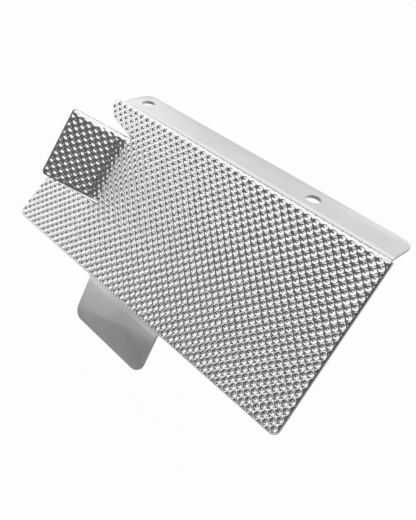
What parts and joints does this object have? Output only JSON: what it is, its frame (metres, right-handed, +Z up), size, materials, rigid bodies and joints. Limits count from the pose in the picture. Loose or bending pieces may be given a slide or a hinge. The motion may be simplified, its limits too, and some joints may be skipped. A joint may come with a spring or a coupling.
{
  "type": "firewall heat shield",
  "caption": "Folded aluminium heat shield: sloping panel with an embossed face sheet, bolted top flange, lower tab and a raised side ear.",
  "frame": {"origin": "midway between the bolt holes, on the underside of the flange", "axes": "+X along the fold, +Y from the fold to the flange's free edge, +Z up along the bolts; the panel slopes down and forward"},
  "size_m": [0.2476, 0.0953, 0.1199],
  "materials": {
    "plain_sheet": "satin rolled sheet",
    "embossed_sheet": "bright embossed sheet"
  },
  "bodies": {
    "root": {"backing_plate": "plain_sheet", "embossed_face": "embossed_sheet"}
  },
  "joints": []
}
